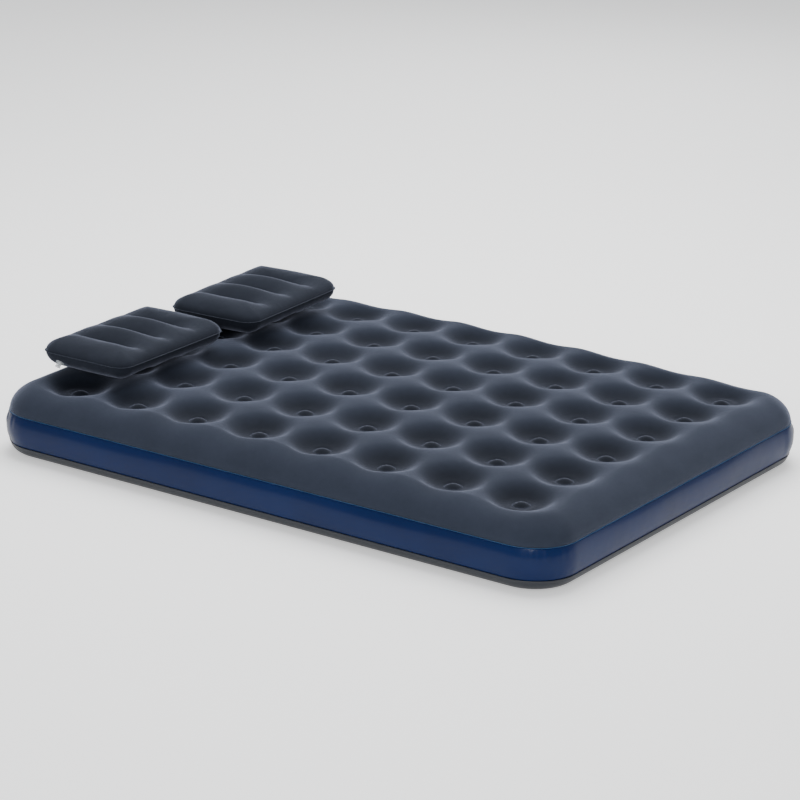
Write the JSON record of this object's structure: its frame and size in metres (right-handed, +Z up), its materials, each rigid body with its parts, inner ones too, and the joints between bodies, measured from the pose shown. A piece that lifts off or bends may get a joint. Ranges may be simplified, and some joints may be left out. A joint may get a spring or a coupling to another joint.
{
  "type": "air mattress",
  "caption": "Inflated flocked air bed with sunk coil-beam welds, a glossy side band, a recessed screw valve with flip lid, and two loose channelled pillows.",
  "frame": {"origin": "on the ground, under the middle of the bed", "axes": "+X to the foot end (the pillows are at -X), +Z up"},
  "size_m": [2.0298, 1.5196, 0.3453],
  "materials": {
    "top_flock": "matte",
    "pillow_flock": "matte",
    "band_vinyl": "satin",
    "bottom_vinyl": "satin",
    "coil_film": "satin",
    "valve_grey": "satin",
    "seal_rubber": "matte",
    "clear_vinyl": "gloss"
  },
  "bodies": {
    "air_bed": {"top_sheet": "top_flock", "side_band": "band_vinyl", "bottom_sheet": "bottom_vinyl", "coil_beams_row_1": "coil_film", "coil_beams_row_2": "coil_film", "coil_beams_row_3": "coil_film", "coil_beams_row_4": "coil_film", "coil_beams_row_5": "coil_film", "coil_beams_row_6": "coil_film", "coil_beams_row_7": "coil_film", "coil_beams_row_8": "coil_film", "valve_base": "valve_grey"},
    "valve_tether": {"core_tether": "valve_grey"},
    "valve_core": {"valve_core": "valve_grey", "core_seal": "seal_rubber"},
    "valve_flap": {"valve_flap": "seal_rubber"},
    "valve_lid": {"valve_lid": "valve_grey", "lid_seal": "seal_rubber"},
    "pillow_1": {"pillow_1_top": "pillow_flock", "pillow_1_bottom": "pillow_flock", "pillow_1_webs": "coil_film", "pillow_1_valve_stem": "clear_vinyl"},
    "pillow_1_plug": {"pillow_1_valve_plug": "clear_vinyl"},
    "pillow_2": {"pillow_2_top": "pillow_flock", "pillow_2_bottom": "pillow_flock", "pillow_2_webs": "coil_film", "pillow_2_valve_stem": "clear_vinyl"},
    "pillow_2_plug": {"pillow_2_valve_plug": "clear_vinyl"}
  },
  "joints": [
    {"name": "core_rise", "type": "slide", "parent": "air_bed", "child": "valve_tether", "axis": [-1, 0, 0], "range_m": [0, 0.006]},
    {"name": "core_turn", "type": "hinge", "parent": "valve_tether", "child": "valve_core", "pos_m": [-0.991, 0.48, 0.086], "axis": [-1, 0, 0], "range_deg": [0, 720]},
    {"name": "flap_swing", "type": "hinge", "parent": "valve_core", "child": "valve_flap", "pos_m": [-0.9993, 0.48, 0.1], "axis": [0, -1, 0], "range_deg": [0, 50], "stiffness_Nm_per_rad": 0.0005},
    {"name": "lid_swing", "type": "hinge", "parent": "valve_core", "child": "valve_lid", "pos_m": [-1.0106, 0.48, 0.1015], "axis": [0, 1, 0], "range_deg": [0, 150]},
    {"name": "pillow_1_lift", "type": "slide", "parent": "air_bed", "child": "pillow_1", "axis": [0, 0, 1], "range_m": [0, 0.3]},
    {"name": "pillow_1_plug_pull", "type": "slide", "parent": "pillow_1", "child": "pillow_1_plug", "axis": [0.0123, -0.707, -0.7071], "range_m": [0, 0.01]},
    {"name": "pillow_2_lift", "type": "slide", "parent": "air_bed", "child": "pillow_2", "axis": [0, 0, 1], "range_m": [0, 0.3]},
    {"name": "pillow_2_plug_pull", "type": "slide", "parent": "pillow_2", "child": "pillow_2_plug", "axis": [0.0432, -0.7058, -0.7071], "range_m": [0, 0.01]}
  ],
  "couplings": [
    {"joint": "core_rise", "follows": "core_turn", "m_per_rad": 0.00047746}
  ]
}
